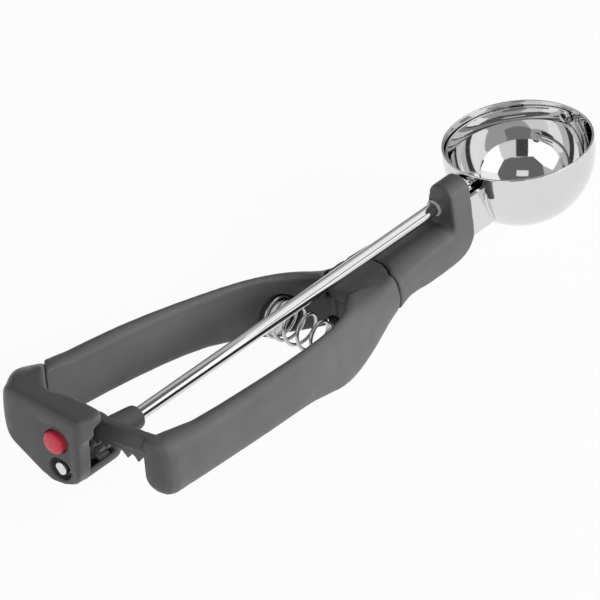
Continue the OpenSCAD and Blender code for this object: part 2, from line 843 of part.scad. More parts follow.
module end_housing() {
    color(plastic) difference() {
        union() {
            difference() {
                housing_block();
                translate([wall_in, -bowl_d, -bowl_d]) cube([bowl_d, bowl_d + pocket_y, bowl_d + slot_top]);
                hinge_sector(-10, stop_y + arm_run + part_gap)
                    translate([arm_r - arm_t - slot_gap, rack_root - 3.2])
                        square([arm_t + 2 * slot_gap, arm_top - rack_root + 4]);
            }
            difference() {
                union() {
                    rod(wall_in - cut, cradle_front + boss_wall, cradle_out);
                    rod(cradle_front + boss_wall, boss_tip, boss_r, boss_tip_r);
                }
                rod(wall_in, cradle_front, cradle_in);
                translate([wall_in, -20, 0.3]) cube([cradle_front - wall_in + 1, 40, 20]);
                translate([cradle_front, -20, boss_r]) cube([boss_wall + 1, 40, 20]);
            }
            rod(wall_in - cut, button_boss, button_r + 1.4, y = button_y, z = button_z);
            stop_post();
            tongue();
        }
        rod(cradle_front - cut, boss_tip + cut, shaft_r + run_fit);
        rod(-end_x + 4, wall_in + 4, shaft_r + bush_wall);
        rod(-end_x - 1, -end_x + 4.01, 4);
        pad();
        rod(-end_x - 3, bore_end, button_r + 3 * fit, y = button_y, z = button_z);
        rod(bore_end - cut, button_boss + 1, stem_r + 2 * fit, y = button_y, z = button_z);
        housing_screw_set();
    }
}

// Post on the housing that the lug of the arm rests against
module stop_post() {
    translate([cradle_front + 0.4, -2.4, 0]) cube([boss_wall - 0.4, 2.4 + stop_y - stop_w - 0.1, 10]);
}

// Shallow flat round the button and the shaft's end; it runs out towards the fixed grip
module pad() {
    translate([-end_x, pad_end, 0]) rotate([0, 0, pad_turn]) along_x(-3, 0)
        translate([-pad_end, 0]) polygon(rounded([[-5.8, 16.8, 6], [-5.8, -12, 0],
            [pad_end + 4, -12, 0], [pad_end + 4, 16.8, 0]]));
}

module release_button() {
    dome = button_r * 1.9;
    color(red) union() {
        intersection() {
            rod(button_tip, button_back, button_r, y = button_y, z = button_z);
            translate([button_tip + dome, button_y, button_z]) sphere(r = dome);
        }
        rod(button_back, stem_tip, stem_r, y = button_y, z = button_z);
    }
}

module stem_clip() {
    color(steel)
        sleeve(button_boss + fit, button_boss + fit + stem_clip_h, stem_r, stem_r + 1.4,
            y = button_y, z = button_z);
}

module button_spring() {
    color(steel) translate([button_back, button_y, button_z]) rotate([0, 90, 0])
        coil(stem_r + 1.2, stem_r + 1.2, button_wire / 2, bore_end - button_back - button_wire / 2,
            3, button_wire, 16);
}

translate([-origin_x, 0, bowl_r]) {
    bowl();
    bowl_bracket();
    weld_beads();
    scraper_band();
    scraper_hub();
    pivot_rivet();
    drive_shaft();
    shaft_collar();
    front_bush();
    rear_bush();
    drive_pinion();
    pinion_pin();
    thrust_washer();
    handle_frame();
    end_housing();
    housing_screws();
    bracket_screws();
    squeeze_lever();
    hinge_pin();
    hinge_washers();
    hinge_clip();
    return_spring();
    spring_stud();
    release_button();
    button_spring();
    stem_clip();
}
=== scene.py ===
import json
import math

import bmesh
import bpy
import numpy as np
from mathutils import Matrix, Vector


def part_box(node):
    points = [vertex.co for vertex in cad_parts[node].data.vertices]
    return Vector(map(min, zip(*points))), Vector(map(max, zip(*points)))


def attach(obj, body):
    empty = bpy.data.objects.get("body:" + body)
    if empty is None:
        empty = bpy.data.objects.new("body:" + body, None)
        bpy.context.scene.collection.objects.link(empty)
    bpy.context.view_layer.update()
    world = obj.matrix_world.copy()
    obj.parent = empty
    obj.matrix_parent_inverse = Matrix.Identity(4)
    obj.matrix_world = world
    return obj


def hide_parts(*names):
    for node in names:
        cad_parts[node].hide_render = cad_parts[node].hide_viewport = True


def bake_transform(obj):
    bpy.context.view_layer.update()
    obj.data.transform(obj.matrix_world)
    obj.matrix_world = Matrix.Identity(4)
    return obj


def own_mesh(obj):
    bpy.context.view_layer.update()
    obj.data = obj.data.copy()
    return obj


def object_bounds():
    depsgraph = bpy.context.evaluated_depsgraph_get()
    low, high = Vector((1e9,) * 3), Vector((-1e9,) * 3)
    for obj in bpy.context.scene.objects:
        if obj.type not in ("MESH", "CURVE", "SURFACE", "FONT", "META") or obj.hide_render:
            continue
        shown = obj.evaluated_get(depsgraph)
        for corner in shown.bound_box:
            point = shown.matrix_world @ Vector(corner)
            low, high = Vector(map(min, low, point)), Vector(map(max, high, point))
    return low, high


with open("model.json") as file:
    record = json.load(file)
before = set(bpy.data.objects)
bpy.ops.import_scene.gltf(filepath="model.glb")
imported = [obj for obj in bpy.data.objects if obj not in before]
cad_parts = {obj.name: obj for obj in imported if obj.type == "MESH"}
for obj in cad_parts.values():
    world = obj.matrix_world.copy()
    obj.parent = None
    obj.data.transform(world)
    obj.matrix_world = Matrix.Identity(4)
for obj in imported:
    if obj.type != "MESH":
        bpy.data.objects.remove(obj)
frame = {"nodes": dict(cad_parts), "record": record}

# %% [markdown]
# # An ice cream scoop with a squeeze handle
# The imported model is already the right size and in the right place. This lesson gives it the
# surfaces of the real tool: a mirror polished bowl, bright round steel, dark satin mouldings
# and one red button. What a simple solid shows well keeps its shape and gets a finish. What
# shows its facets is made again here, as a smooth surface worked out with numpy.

cad_box = [[float(v) for v in corner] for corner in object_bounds()]
nodes = frame["nodes"]
MM = 0.001
BOWL_CENTRE = np.array([0.09375, 0.0, 0.025])
print("box of the model:", cad_box)

# %% [markdown]
# Drawings of this tool are easiest to read from the shaft: x runs along it towards the bowl,
# y goes to the fixed grip and z goes up, in millimetres, with zero at the bowl's centre. One
# helper turns such places into metres in the model's own frame, and every piece uses it.

# %% From the shaft's frame to the model's
def place(points):
    """Place in the model = place from the bowl's centre in millimetres * 0.001 + centre."""
    return np.asarray(points, float) * MM + BOWL_CENTRE


def from_bowl(corners):
    """Corners in metres as millimetres from the bowl's centre: (corner - centre) / 0.001."""
    return [np.subtract(corner, BOWL_CENTRE) / MM for corner in corners]


print("the bowl's centre is at", place([0, 0, 0]))

# %% [markdown]
# A product picture is taken from far away with a long lens, so the handle and the bowl keep
# their true proportions. The camera is given by the two angles it looks along, its distance,
# a small tilt of the picture, and how far it is moved sideways and up in its own plane.

# %% Camera
AZIMUTH, ELEVATION, ROLL = -44.68, 36.40, -4.51
DISTANCE_MM, ASIDE_MM, RAISED_MM = 1498.0, -33.75, -23.0
AIM_MM = (-55.0, 0.0, 0.0)
FOCAL_PIXELS, PICTURE_PIXELS, SENSOR_MM = 4713.0, 600.0, 36.0
CLIP_M = 20.0


def unit(v):
    """v divided by its length."""
    v = np.asarray(v, float)
    return v / np.linalg.norm(v)


def camera_axes(azimuth, elevation, roll):
    """Right, up and back of a camera: back = (sin a cos e, -cos a cos e, sin e), then rolled."""
    a, e, r = (math.radians(v) for v in (azimuth, elevation, roll))
    back = np.array([math.sin(a) * math.cos(e), -math.cos(a) * math.cos(e), math.sin(e)])
    right = np.array([math.cos(a), math.sin(a), 0.0])
    up = np.cross(back, right)
    return (math.cos(r) * right + math.sin(r) * up, math.cos(r) * up - math.sin(r) * right, back)


def matrix_of(x_axis, y_axis, z_axis, origin):
    """The 4 x 4 matrix whose columns are three axes and a place."""
    columns = np.column_stack([x_axis, y_axis, z_axis, origin])
    return Matrix(np.vstack([columns, [0, 0, 0, 1]]).tolist())


right, up, back = camera_axes(AZIMUTH, ELEVATION, ROLL)
eye = place(np.array(AIM_MM) + back * DISTANCE_MM + right * ASIDE_MM + up * RAISED_MM)
camera = bpy.data.objects.new("camera", bpy.data.cameras.new("camera"))
camera.data.sensor_width = SENSOR_MM
camera.data.lens = FOCAL_PIXELS * SENSOR_MM / PICTURE_PIXELS
camera.data.clip_end = CLIP_M
camera.matrix_world = matrix_of(right, up, back, eye)
bpy.context.scene.collection.objects.link(camera)
bpy.context.scene.camera = camera
bpy.context.scene.view_settings.view_transform = "Standard"
print("camera at", np.round(eye, 3), "lens", round(camera.data.lens, 1), "mm")

# %% [markdown]
# The stage is a white sheet. The tool rests on the bottom of the bowl and on the underside of
# the handle, so the sheet leans a little. For the camera, and for metal that mirrors it, most
# of the sheet is plain white. The rest is an ordinary matte surface, which keeps the shadow.

# %% Node helpers
def new_material(name):
    """A material with empty nodes, an output and a Principled shader joined to it."""
    material = bpy.data.materials.new(name)
    material.use_nodes = True
    tree = material.node_tree
    tree.nodes.clear()
    output = tree.nodes.new("ShaderNodeOutputMaterial")
    shader = tree.nodes.new("ShaderNodeBsdfPrincipled")
    tree.links.new(shader.outputs["BSDF"], output.inputs["Surface"])
    return material, tree, shader, output


def link(tree, source, target):
    """Joins one node socket to another."""
    tree.links.new(source, target)


def seen_directly(tree):
    """1 for rays that show the background: camera, glossy and transmission rays."""
    path = tree.nodes.new("ShaderNodeLightPath")
    total = tree.nodes.new("ShaderNodeMath")
    total.operation = "ADD"
    link(tree, path.outputs["Is Camera Ray"], total.inputs[0])
    link(tree, path.outputs["Is Glossy Ray"], total.inputs[1])
    both = tree.nodes.new("ShaderNodeMath")
    both.operation = "ADD"
    both.use_clamp = True
    link(tree, total.outputs[0], both.inputs[0])
    link(tree, path.outputs["Is Transmission Ray"], both.inputs[1])
    return both.outputs[0]


# %% Floor
FLOOR_HALF = 6.0
FLOOR_LEAN = math.radians(0.7)
FLOOR_WHITE_SHARE = 0.95
FLOOR_BELOW_M = 0.0251


def flat_sheet(name, centre, half_u, half_v):
    """A rectangle: centre + s * half_u + t * half_v, with s and t from -1 to 1."""
    corners = [centre + s * half_u + t * half_v for s, t in ((-1, -1), (1, -1), (1, 1), (-1, 1))]
    mesh = bpy.data.meshes.new(name)
    mesh.from_pydata([tuple(float(v) for v in c) for c in corners], [], [(0, 1, 2, 3)])
    sheet = bpy.data.objects.new(name, mesh)
    bpy.context.scene.collection.objects.link(sheet)
    return sheet


lean_u = np.array([math.cos(FLOOR_LEAN), 0.0, -math.sin(FLOOR_LEAN)])
lean_up = np.array([math.sin(FLOOR_LEAN), 0.0, math.cos(FLOOR_LEAN)])
bowl_foot = BOWL_CENTRE - FLOOR_BELOW_M * lean_up
floor = flat_sheet("floor", bowl_foot, FLOOR_HALF * lean_u, FLOOR_HALF * np.array([0.0, 1.0, 0.0]))
floor_white, tree, shader, output = new_material("floor_white")
shader.inputs["Base Color"].default_value = (0.9, 0.9, 0.9, 1)
shader.inputs["Roughness"].default_value = 0.9
shader.inputs["Specular IOR Level"].default_value = 0.0
glow = tree.nodes.new("ShaderNodeEmission")
glow.inputs["Strength"].default_value = 1.0
share = tree.nodes.new("ShaderNodeMath")
share.operation = "MULTIPLY"
share.inputs[1].default_value = FLOOR_WHITE_SHARE
link(tree, seen_directly(tree), share.inputs[0])
mixed = tree.nodes.new("ShaderNodeMixShader")
link(tree, share.outputs[0], mixed.inputs["Fac"])
link(tree, shader.outputs["BSDF"], mixed.inputs[1])
link(tree, glow.outputs["Emission"], mixed.inputs[2])
link(tree, mixed.outputs["Shader"], output.inputs["Surface"])
floor.data.materials.append(floor_white)
print("floor leans", round(math.degrees(FLOOR_LEAN), 2), "degrees")

# %% [markdown]
# A studio lights the two families of surfaces in different ways. The dark mouldings scatter the
# light of two low soft lamps and a weak one overhead, so their sides are lighter than their
# tops. The mirrors show the studio itself: grey surroundings, white soft boxes on each side of
# the camera, a dark gap between them, pieces of wall and a dark ceiling. The surroundings are
# the world's own brightness, and the others are cards that only mirrors can see.

# %% World
AMBIENT, WALLS = 0.20, 0.60
world = bpy.data.worlds.new("studio")
bpy.context.scene.world = world
world.use_nodes = True
tree = world.node_tree
tree.nodes.clear()
sky = tree.nodes.new("ShaderNodeBackground")
sky.inputs["Color"].default_value = (1, 1, 1, 1)
path = tree.nodes.new("ShaderNodeLightPath")
walls = tree.nodes.new("ShaderNodeMix")
walls.inputs["A"].default_value = AMBIENT
walls.inputs["B"].default_value = WALLS
link(tree, path.outputs["Is Glossy Ray"], walls.inputs["Factor"])
level = tree.nodes.new("ShaderNodeMix")
level.inputs["B"].default_value = 1.0
link(tree, path.outputs["Is Camera Ray"], level.inputs["Factor"])
link(tree, walls.outputs["Result"], level.inputs["A"])
link(tree, level.outputs["Result"], sky.inputs["Strength"])
link(tree, sky.outputs["Background"], tree.nodes.new("ShaderNodeOutputWorld").inputs["Surface"])
print("surroundings:", AMBIENT, "for surfaces,", WALLS, "for mirrors")


# %% Lamps
def towards(azimuth, elevation):
    """Unit vector to a place at those angles: (sin a cos e, -cos a cos e, sin e)."""
    a, e = math.radians(azimuth), math.radians(elevation)
    return np.array([math.sin(a) * math.cos(e), -math.cos(a) * math.cos(e), math.sin(e)])


def soft_lamp(name, azimuth, elevation, distance, size, watts):
    """A square area lamp at those angles that faces the model and that mirrors don't show."""
    data = bpy.data.lights.new(name, "AREA")
    data.shape = "SQUARE"
    data.size = size
    data.energy = watts
    lamp = bpy.data.objects.new(name, data)
    z_axis = towards(azimuth, elevation)
    x_axis = unit(np.cross([0.0, 0.0, 1.0], z_axis))
    lamp.matrix_world = matrix_of(x_axis, np.cross(z_axis, x_axis), z_axis, z_axis * distance)
    lamp.visible_glossy = False
    bpy.context.scene.collection.objects.link(lamp)


# Name, azimuth, elevation, distance, size, watts
LAMPS = (
    ("near_lamp", 34, 11, 1.3, 0.8, 29.0),
    ("end_lamp", -62, 12, 1.3, 0.5, 3.8),
    ("top_lamp", 120, 70, 1.5, 0.8, 1.2),
)
for row in LAMPS:
    soft_lamp(*row)


# %% Cards for the mirrors
def card(name, azimuth, elevation, distance, width, height, shade):
    """A plain card across the line to those angles, seen only in mirrors."""
    out = towards(azimuth, elevation)
    side = np.array([math.cos(math.radians(azimuth)), math.sin(math.radians(azimuth)), 0.0])
    sheet = flat_sheet(name, out * distance, side * width / 2, np.cross(out, side) * height / 2)
    material, tree, shader, output = new_material(name)
    plain = tree.nodes.new("ShaderNodeEmission")
    plain.inputs["Color"].default_value = (shade, shade, shade, 1)
    link(tree, plain.outputs["Emission"], output.inputs["Surface"])
    sheet.data.materials.append(material)
    sheet.visible_camera = False
    sheet.visible_diffuse = False
    sheet.visible_shadow = False


# Name, azimuth, elevation, distance, width, height, shade
CARDS = (
    ("box_right", 14, 36, 1.6, 1.6, 1.5, 1.45),
    ("wall_right", -27, 33, 1.6, 0.85, 1.2, 0.85),
    ("box_left", -94, 33, 1.6, 2.0, 1.1, 1.45),
    ("gap", -52, 30, 1.45, 0.52, 1.0, 0.07),
    ("ceiling", -48, 78, 1.4, 1.9, 1.5, 0.17),
    ("skylight", -54, 77, 1.3, 0.40, 0.22, 1.0),
    ("box_far", 62, 50, 1.6, 1.7, 1.0, 1.15),
    ("far_gap", 46, 26, 1.5, 0.9, 0.24, 0.04),
    ("far_low", 46, 9, 1.6, 0.9, 0.75, 1.25),
    ("back_wall", 130, 22, 1.7, 2.2, 0.9, 0.30),
)
for row in CARDS:
    card(*row)
print("lamps:", len(LAMPS), "cards:", len(CARDS))

# %% [markdown]
# Effects that several finishes share are node groups, made once. Fine grain is what a spark
# eroded mould leaves on plastic: tiny soft bumps. Handling is the faint cloudiness that hands
# leave on polished steel, so the mirror is a little less sharp in places. Slow waves are what
# pressing, drawing and polishing leave in metal: they have hardly any height, but they bend
# what the metal mirrors. All three are noise, which never repeats and needs no picture.

# %% Helpers for shared effects
def new_group(name, inputs, outputs):
    """An empty shader group with the named float inputs and outputs."""
    group = bpy.data.node_groups.new(name, "ShaderNodeTree")
    for label, value in inputs:
        socket = group.interface.new_socket(label, in_out="INPUT", socket_type="NodeSocketFloat")
        socket.default_value = value
    for label in outputs:
        group.interface.new_socket(label, in_out="OUTPUT", socket_type="NodeSocketFloat")
    return group, group.nodes.new("NodeGroupInput"), group.nodes.new("NodeGroupOutput")


def noise_of(tree, scale, detail=3.0):
    """A noise texture on Object coordinates; scale is in cells per metre."""
    coordinates = tree.nodes.new("ShaderNodeTexCoord")
    noise = tree.nodes.new("ShaderNodeTexNoise")
    noise.inputs["Detail"].default_value = detail
    link(tree, coordinates.outputs["Object"], noise.inputs["Vector"])
    if isinstance(scale, (int, float)):
        noise.inputs["Scale"].default_value = scale
    else:
        link(tree, scale, noise.inputs["Scale"])
    return noise.outputs["Fac"]


NOISE_LOW, NOISE_HIGH = 0.3, 0.7


def spread(tree, value, low, high):
    """Carries the middle of a noise, NOISE_LOW to NOISE_HIGH, onto low to high."""
    ramp = tree.nodes.new("ShaderNodeMapRange")
    ramp.inputs["From Min"].default_value = NOISE_LOW
    ramp.inputs["From Max"].default_value = NOISE_HIGH
    for label, end in (("To Min", low), ("To Max", high)):
        if isinstance(end, (int, float)):
            ramp.inputs[label].default_value = end
        else:
            link(tree, end, ramp.inputs[label])
    link(tree, value, ramp.inputs["Value"])
    return ramp.outputs["Result"]


def use_group(tree, group, **values):
    """Places a shared group in a material, with its own values."""
    node = tree.nodes.new("ShaderNodeGroup")
    node.node_tree = group
    for label, value in values.items():
        node.inputs[label].default_value = value
    return node


# %% Fine grain
# Two noises, one FINER_BY times finer than the other, added up as a height
FINER_BY = 5.0
grain, grain_in, grain_out = new_group("fine_grain", (("Scale", 1800.0),), ("Height",))
finer = grain.nodes.new("ShaderNodeMath")
finer.operation = "MULTIPLY"
finer.inputs[1].default_value = FINER_BY
link(grain, grain_in.outputs["Scale"], finer.inputs[0])
summed = grain.nodes.new("ShaderNodeMath")
summed.operation = "ADD"
link(grain, noise_of(grain, grain_in.outputs["Scale"]), summed.inputs[0])
link(grain, noise_of(grain, finer.outputs[0]), summed.inputs[1])
link(grain, summed.outputs[0], grain_out.inputs["Height"])

# %% Handling
# Broad clouds carried onto a range, for a roughness or a shade
handling, handling_in, handling_out = new_group(
    "handling", (("Scale", 90.0), ("Low", 0.0), ("High", 1.0)), ("Value",))
link(handling, spread(handling, noise_of(handling, handling_in.outputs["Scale"], 5.0),
     handling_in.outputs["Low"], handling_in.outputs["High"]), handling_out.inputs["Value"])

# %% Slow waves
# One plain noise as a height
waves, waves_in, waves_out = new_group("slow_waves", (("Scale", 70.0),), ("Height",))
link(waves, noise_of(waves, waves_in.outputs["Scale"], detail=1.0), waves_out.inputs["Height"])
print("groups:", [g.name for g in bpy.data.node_groups])

# %% [markdown]
# The mouldings are one dark grey plastic. It isn't black: the lit side looks mid grey because
# its satin skin scatters the soft lamp. The grain breaks the highlight up, and the shade and
# the roughness wander a little, as they do on every moulding.

# %% Dark moulded plastic
def bumped(tree, shader, height, strength, distance):
    """Feeds a height through a Bump node into the shader's normal."""
    bump = tree.nodes.new("ShaderNodeBump")
    bump.inputs["Strength"].default_value = strength
    bump.inputs["Distance"].default_value = distance
    link(tree, height, bump.inputs["Height"])
    link(tree, bump.outputs["Normal"], shader.inputs["Normal"])


def wandering_colour(tree, shader, first, second, scale):
    """Mixes two near colours by broad noise and feeds the base colour."""
    mix = tree.nodes.new("ShaderNodeMix")
    mix.data_type = "RGBA"
    mix.inputs["A"].default_value = (*first, 1)
    mix.inputs["B"].default_value = (*second, 1)
    clouds = use_group(tree, handling, Scale=scale)
    link(tree, clouds.outputs["Value"], mix.inputs["Factor"])
    link(tree, mix.outputs["Result"], shader.inputs["Base Color"])


def wandering_roughness(tree, shader, low, high, scale):
    """Lets the roughness wander between two values by broad noise."""
    clouds = use_group(tree, handling, Scale=scale, Low=low, High=high)
    link(tree, clouds.outputs["Value"], shader.inputs["Roughness"])


def grained(tree, shader, scale, strength, distance):
    """Bumps the surface with the fine grain."""
    height = use_group(tree, grain, Scale=scale).outputs["Height"]
    bumped(tree, shader, height, strength, distance)


dark_plastic, tree, shader, _ = new_material("dark_plastic")
wandering_colour(tree, shader, (0.068, 0.068, 0.069), (0.082, 0.082, 0.083), scale=60.0)
wandering_roughness(tree, shader, low=0.40, high=0.50, scale=140.0)
grained(tree, shader, scale=1600.0, strength=0.25, distance=0.00008)

# %% [markdown]
# The red button and the pale bearing parts are moulded too. The button has a glossier skin
# than the grips, because a thumb has to find it. The bearings are undyed nylon.

# %% Red button and bearing nylon
red_plastic, tree, shader, _ = new_material("red_plastic")
wandering_colour(tree, shader, (0.76, 0.034, 0.070), (0.84, 0.046, 0.088), scale=200.0)
wandering_roughness(tree, shader, low=0.24, high=0.32, scale=300.0)
grained(tree, shader, scale=1200.0, strength=0.08, distance=0.00005)


def moulded_nylon(name, shade):
    """Slightly warm nylon of that shade, dull and almost smooth."""
    material, tree, shader, _ = new_material(name)
    wandering_colour(tree, shader, (shade, shade, shade * 0.94), (shade * 1.1,) * 3, scale=150.0)
    wandering_roughness(tree, shader, low=0.38, high=0.48, scale=200.0)
    grained(tree, shader, scale=900.0, strength=0.1, distance=0.00005)
    return material


nylon = moulded_nylon("nylon", shade=0.60)
grey_nylon = moulded_nylon("grey_nylon", shade=0.26)

# %% [markdown]
# Stainless steel comes in two finishes here. The bowl, the shaft and the scraper are mirror
# polished, and only very slow waves and faint clouds tell them from a perfect mirror. Wire,
# pins and screws are plain drawn or turned steel, which is a little duller and darker.

# %% Steel finishes
def steel(name, shade, rough_low, rough_high, wave_scale, wave_height):
    """A metal whose roughness wanders between two values, with slow waves in its surface."""
    material, tree, shader, _ = new_material(name)
    wandering_colour(tree, shader, (shade, shade, shade), (shade * 0.96,) * 3, scale=80.0)
    shader.inputs["Metallic"].default_value = 1.0
    wandering_roughness(tree, shader, low=rough_low, high=rough_high, scale=110.0)
    height = use_group(tree, waves, Scale=wave_scale).outputs["Height"]
    bumped(tree, shader, height, strength=1.0, distance=wave_height)
    return material


mirror_steel = steel("mirror_steel", shade=0.71, rough_low=0.03, rough_high=0.07,
                     wave_scale=70.0, wave_height=0.00006)
drawn_steel = steel("drawn_steel", shade=0.56, rough_low=0.16, rough_high=0.25,
                    wave_scale=400.0, wave_height=0.00002)
print("materials:", [m.name for m in bpy.data.materials])

# %% [markdown]
# New pieces are grids of points: one direction goes along the piece and the other round it.
# The helper joins neighbours into four-sided faces, merges the points that meet at a seam or a
# pole, turns the faces outwards, and keeps edges sharp only where they are really sharp.

# %% Faces between the points of a grid
SHARP_DEGREES = 38.0
SAME_POINT_M, NO_LENGTH_M = 1e-6, 1e-7


def grid_faces(rows, columns, wrap_rows, wrap_columns):
    """Corner numbers of the quads between neighbouring points of a grid."""
    i, j = np.meshgrid(np.arange(rows - (not wrap_rows)), np.arange(columns - (not wrap_columns)),
                       indexing="ij")
    i2, j2 = (i + 1) % rows, (j + 1) % columns
    return np.stack([i * columns + j, i2 * columns + j, i2 * columns + j2, i * columns + j2],
                    -1).reshape(-1, 4)


def finish_mesh(mesh):
    """Merges doubles, points the faces outwards and marks edges sharper than SHARP_DEGREES."""
    work = bmesh.new()
    work.from_mesh(mesh)
    bmesh.ops.remove_doubles(work, verts=work.verts, dist=SAME_POINT_M)
    bmesh.ops.dissolve_degenerate(work, edges=work.edges, dist=NO_LENGTH_M)
    bmesh.ops.recalc_face_normals(work, faces=work.faces)
    work.to_mesh(mesh)
    work.free()
    mesh.polygons.foreach_set("use_smooth", np.ones(len(mesh.polygons), bool))
    mesh.set_sharp_from_angle(angle=math.radians(SHARP_DEGREES))


# %% A piece from a grid
def grid_piece(name, grid, material, body, stands_for, wrap_rows=False, wrap_columns=False):
    """A piece from a grid of points in millimetres that replaces CAD nodes; it rides on body, or
    on no body when none is given."""
    mesh = bpy.data.meshes.new(name)
    faces = grid_faces(grid.shape[0], grid.shape[1], wrap_rows, wrap_columns)
    mesh.from_pydata(place(grid.reshape(-1, 3)).tolist(), [], faces.tolist())
    finish_mesh(mesh)
    piece = bpy.data.objects.new(name, mesh)
    bpy.context.scene.collection.objects.link(piece)
    mesh.materials.append(material)
    if body:
        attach(piece, body)
    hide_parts(*stands_for)
    print(name, len(mesh.polygons), "faces")
    return piece


def slot_of(node):
    """The record's material slot of a CAD node."""
    return next(s["material_slot"] for s in frame["record"]["subparts"] if s["node"] == node)


# %% Turned profiles and arcs
def turned(profile, steps, axis="z"):
    """Profile (radius, height) carried round an axis: (r cos t, r sin t, h)."""
    t = np.linspace(0, 2 * np.pi, steps, endpoint=False)[:, None]
    radius, height = np.asarray(profile, float).T
    x, y, z = radius * np.cos(t), radius * np.sin(t), np.broadcast_to(height, (steps, len(height)))
    return np.stack([x, y, z] if axis == "z" else [z, x, y], -1)


def arc(centre, radius, start, end, steps):
    """Points of a circle round centre, from the angle start to end in degrees."""
    t = np.radians(np.linspace(start, end, steps))
    return np.stack([centre[0] + radius * np.cos(t), centre[1] + radius * np.sin(t)], -1)


# %% [markdown]
# The bowl is pressed from thin sheet, spun true and polished. Its profile goes up the outside,
# over a small rounded lip and down the inside, and is carried round the upright axis. The
# mirror shows every facet, so the profile and the turn both get many steps.

# %% Bowl
BOWL_R, BOWL_WALL, RIM_H, BOWL_TURN = 24.99, 0.9, 3.7, 4.5
BOWL_STEPS, WALL_STEPS, LIP_STEPS = 160, 60, 9


def tilt_x(grid, degrees):
    """Turns points about the shaft: y' = y cos a - z sin a, z' = y sin a + z cos a."""
    a = math.radians(degrees)
    x, y, z = np.moveaxis(grid, -1, 0)
    return np.stack([x, y * math.cos(a) - z * math.sin(a), y * math.sin(a) + z * math.cos(a)], -1)


lip = BOWL_WALL / 2
bowl_profile = np.vstack([
    arc((0, 0), BOWL_R, -90, 0, WALL_STEPS),
    [[BOWL_R, RIM_H * 0.5]],
    arc((BOWL_R - lip, RIM_H - lip), lip, 0, 180, LIP_STEPS),
    [[BOWL_R - BOWL_WALL, RIM_H * 0.5]],
    arc((0, 0), BOWL_R - BOWL_WALL, 0, -90, WALL_STEPS),
])
grid_piece("bowl_shell", tilt_x(turned(bowl_profile, BOWL_STEPS), -BOWL_TURN), mirror_steel,
           "frame", ["bowl"], wrap_rows=True)

# %% [markdown]
# The scraper is a strip that lies inside the bowl and turns about the shaft. Its section is a
# thin rectangle with its long edges rounded over. It is carried along half a circle, and its
# width closes to nothing along a round end, so that both ends are full half discs.

# %% Scraper band
BAND_OUT, BAND_IN, BAND_HALF, BAND_LEAN = 23.8, 23.1, 2.5, 2.5
EDGE_R = 0.2
ROUND_STEPS, SWEEP_STEPS = 9, 97


def band_section(count=8):
    """Rounded rectangle in (radius, side); the side runs from -1 to 1."""
    edge = EDGE_R / BAND_HALF
    bow = np.linspace(-np.pi / 2, np.pi / 2, count)
    across = np.sign(bow) * (1 - edge) + edge * np.sin(bow)
    outer = np.stack([BAND_OUT - EDGE_R + EDGE_R * np.cos(bow), across], -1)
    inner = np.stack([BAND_IN + EDGE_R - EDGE_R * np.cos(bow), -across], -1)
    return np.vstack([outer, inner])


end_angle = BAND_HALF / BAND_OUT
along = np.concatenate([
    end_angle * np.sin(np.linspace(-np.pi / 2, 0, ROUND_STEPS)),
    np.linspace(0, np.pi, SWEEP_STEPS)[1:-1],
    np.pi + end_angle * np.sin(np.linspace(0, np.pi / 2, ROUND_STEPS))])
past_end = np.maximum(np.maximum(-along, along - np.pi), 0) / end_angle
half_width = BAND_HALF * np.sqrt(np.maximum(1 - past_end ** 2, 0))
section = band_section()
radius = np.broadcast_to(section[:, 0], (len(along), len(section)))
side = half_width[:, None] * section[:, 1]
flat_radius = np.sqrt(radius ** 2 - side ** 2)
band = np.stack([flat_radius * np.cos(along)[:, None],
                 flat_radius * np.sin(along)[:, None], side], -1)
grid_piece("scraper_strip", tilt_x(band, -BOWL_TURN - BAND_LEAN), mirror_steel, "shaft",
           ["scraper_band"], wrap_columns=True)

# %% [markdown]
# The shaft is ground and polished bar. It is a profile turned about the x axis, with a small
# chamfer at the free end and a thinner spigot where it passes into the bowl. The bright collar
# between the head and the bowl is not made here.

# %% Shaft
def rod_profile(stations):
    """Stations (x, radius) as a profile, closed to the axis at both ends."""
    return [(0.0, stations[0][0])] + [(r, x) for x, r in stations] + [(0.0, stations[-1][0])]


shaft_lo, shaft_hi = from_bowl(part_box("drive_shaft"))
SHAFT_R, SPIGOT_R = 2.25, 1.5
MID_X, STEP_X, BEVEL_X, SPIGOT_X = -100, -26.2, -25.9, -25.8
shaft_stations = [(shaft_lo[0], SHAFT_R - 0.4), (shaft_lo[0] + 0.15, SHAFT_R - 0.15),
                  (shaft_lo[0] + 0.4, SHAFT_R), (MID_X, SHAFT_R), (STEP_X, SHAFT_R),
                  (BEVEL_X, SHAFT_R - 0.3), (SPIGOT_X, SPIGOT_R), (shaft_hi[0] - 0.2, SPIGOT_R),
                  (shaft_hi[0], SPIGOT_R - 0.2)]
grid_piece("polished_shaft", turned(rod_profile(shaft_stations), 96, "x"), mirror_steel,
           "shaft", ["drive_shaft"], wrap_rows=True)
